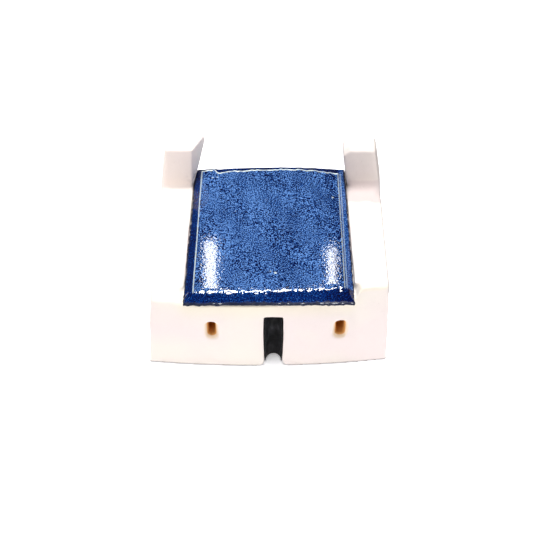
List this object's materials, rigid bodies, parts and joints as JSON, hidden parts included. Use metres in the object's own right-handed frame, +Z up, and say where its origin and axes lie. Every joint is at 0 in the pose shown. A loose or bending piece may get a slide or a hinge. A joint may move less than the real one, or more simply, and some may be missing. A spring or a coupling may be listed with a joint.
{
  "type": "ceramic slide block",
  "caption": "Squat hollow ceramic block with a raised bevelled glazed bed between two rails, an upright at each rear corner, drilled holes and a lined notch in front.",
  "frame": {"origin": "middle of the base's bounding box, on the surface that the block stands on", "axes": "+X along the width, to the right seen from the front; -Y towards the front wall with the notch; +Z up"},
  "size_m": [0.08, 0.06, 0.052],
  "materials": {
    "bare_clay": "unglazed white stoneware, matt, faintly pink and cream",
    "blue_glaze": "glossy speckled blue glaze with a fine orange-peel surface",
    "black_rubber": "dull black lining"
  },
  "bodies": {
    "root": {"front_apron": "bare_clay", "left_cheek": "bare_clay", "right_cheek": "bare_clay", "back_wall": "bare_clay", "deck_slab": "bare_clay", "left_upright": "bare_clay", "right_upright": "bare_clay", "glazed_bed": "blue_glaze", "notch_liner": "black_rubber"}
  },
  "joints": []
}
